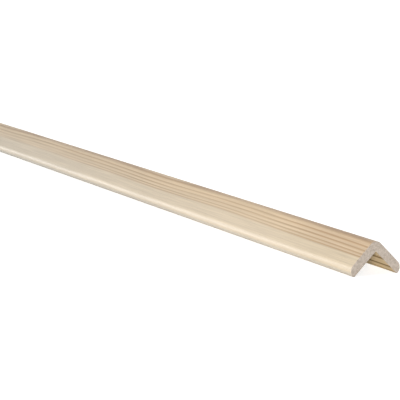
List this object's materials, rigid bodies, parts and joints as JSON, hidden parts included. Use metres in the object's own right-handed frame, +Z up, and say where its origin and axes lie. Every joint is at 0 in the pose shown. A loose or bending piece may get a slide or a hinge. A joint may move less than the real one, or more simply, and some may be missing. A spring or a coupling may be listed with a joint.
{
  "type": "corner moulding",
  "caption": "Straight length of planed pine corner moulding: an L section with a rounded outer corner and rounded leg tips, fixed over an outside corner of a wall or frame to cover it.",
  "frame": {"origin": "on the floor that the two leg tips rest on, below the rounded corner, half way along the length", "axes": "+X along the length, +Y across from one leg to the other, +Z up, the way the rounded corner points"},
  "size_m": [2.4, 0.0352, 0.0216],
  "materials": {
    "pine": "planed, bare"
  },
  "bodies": {
    "root": {"corner_moulding": "pine"}
  },
  "joints": []
}
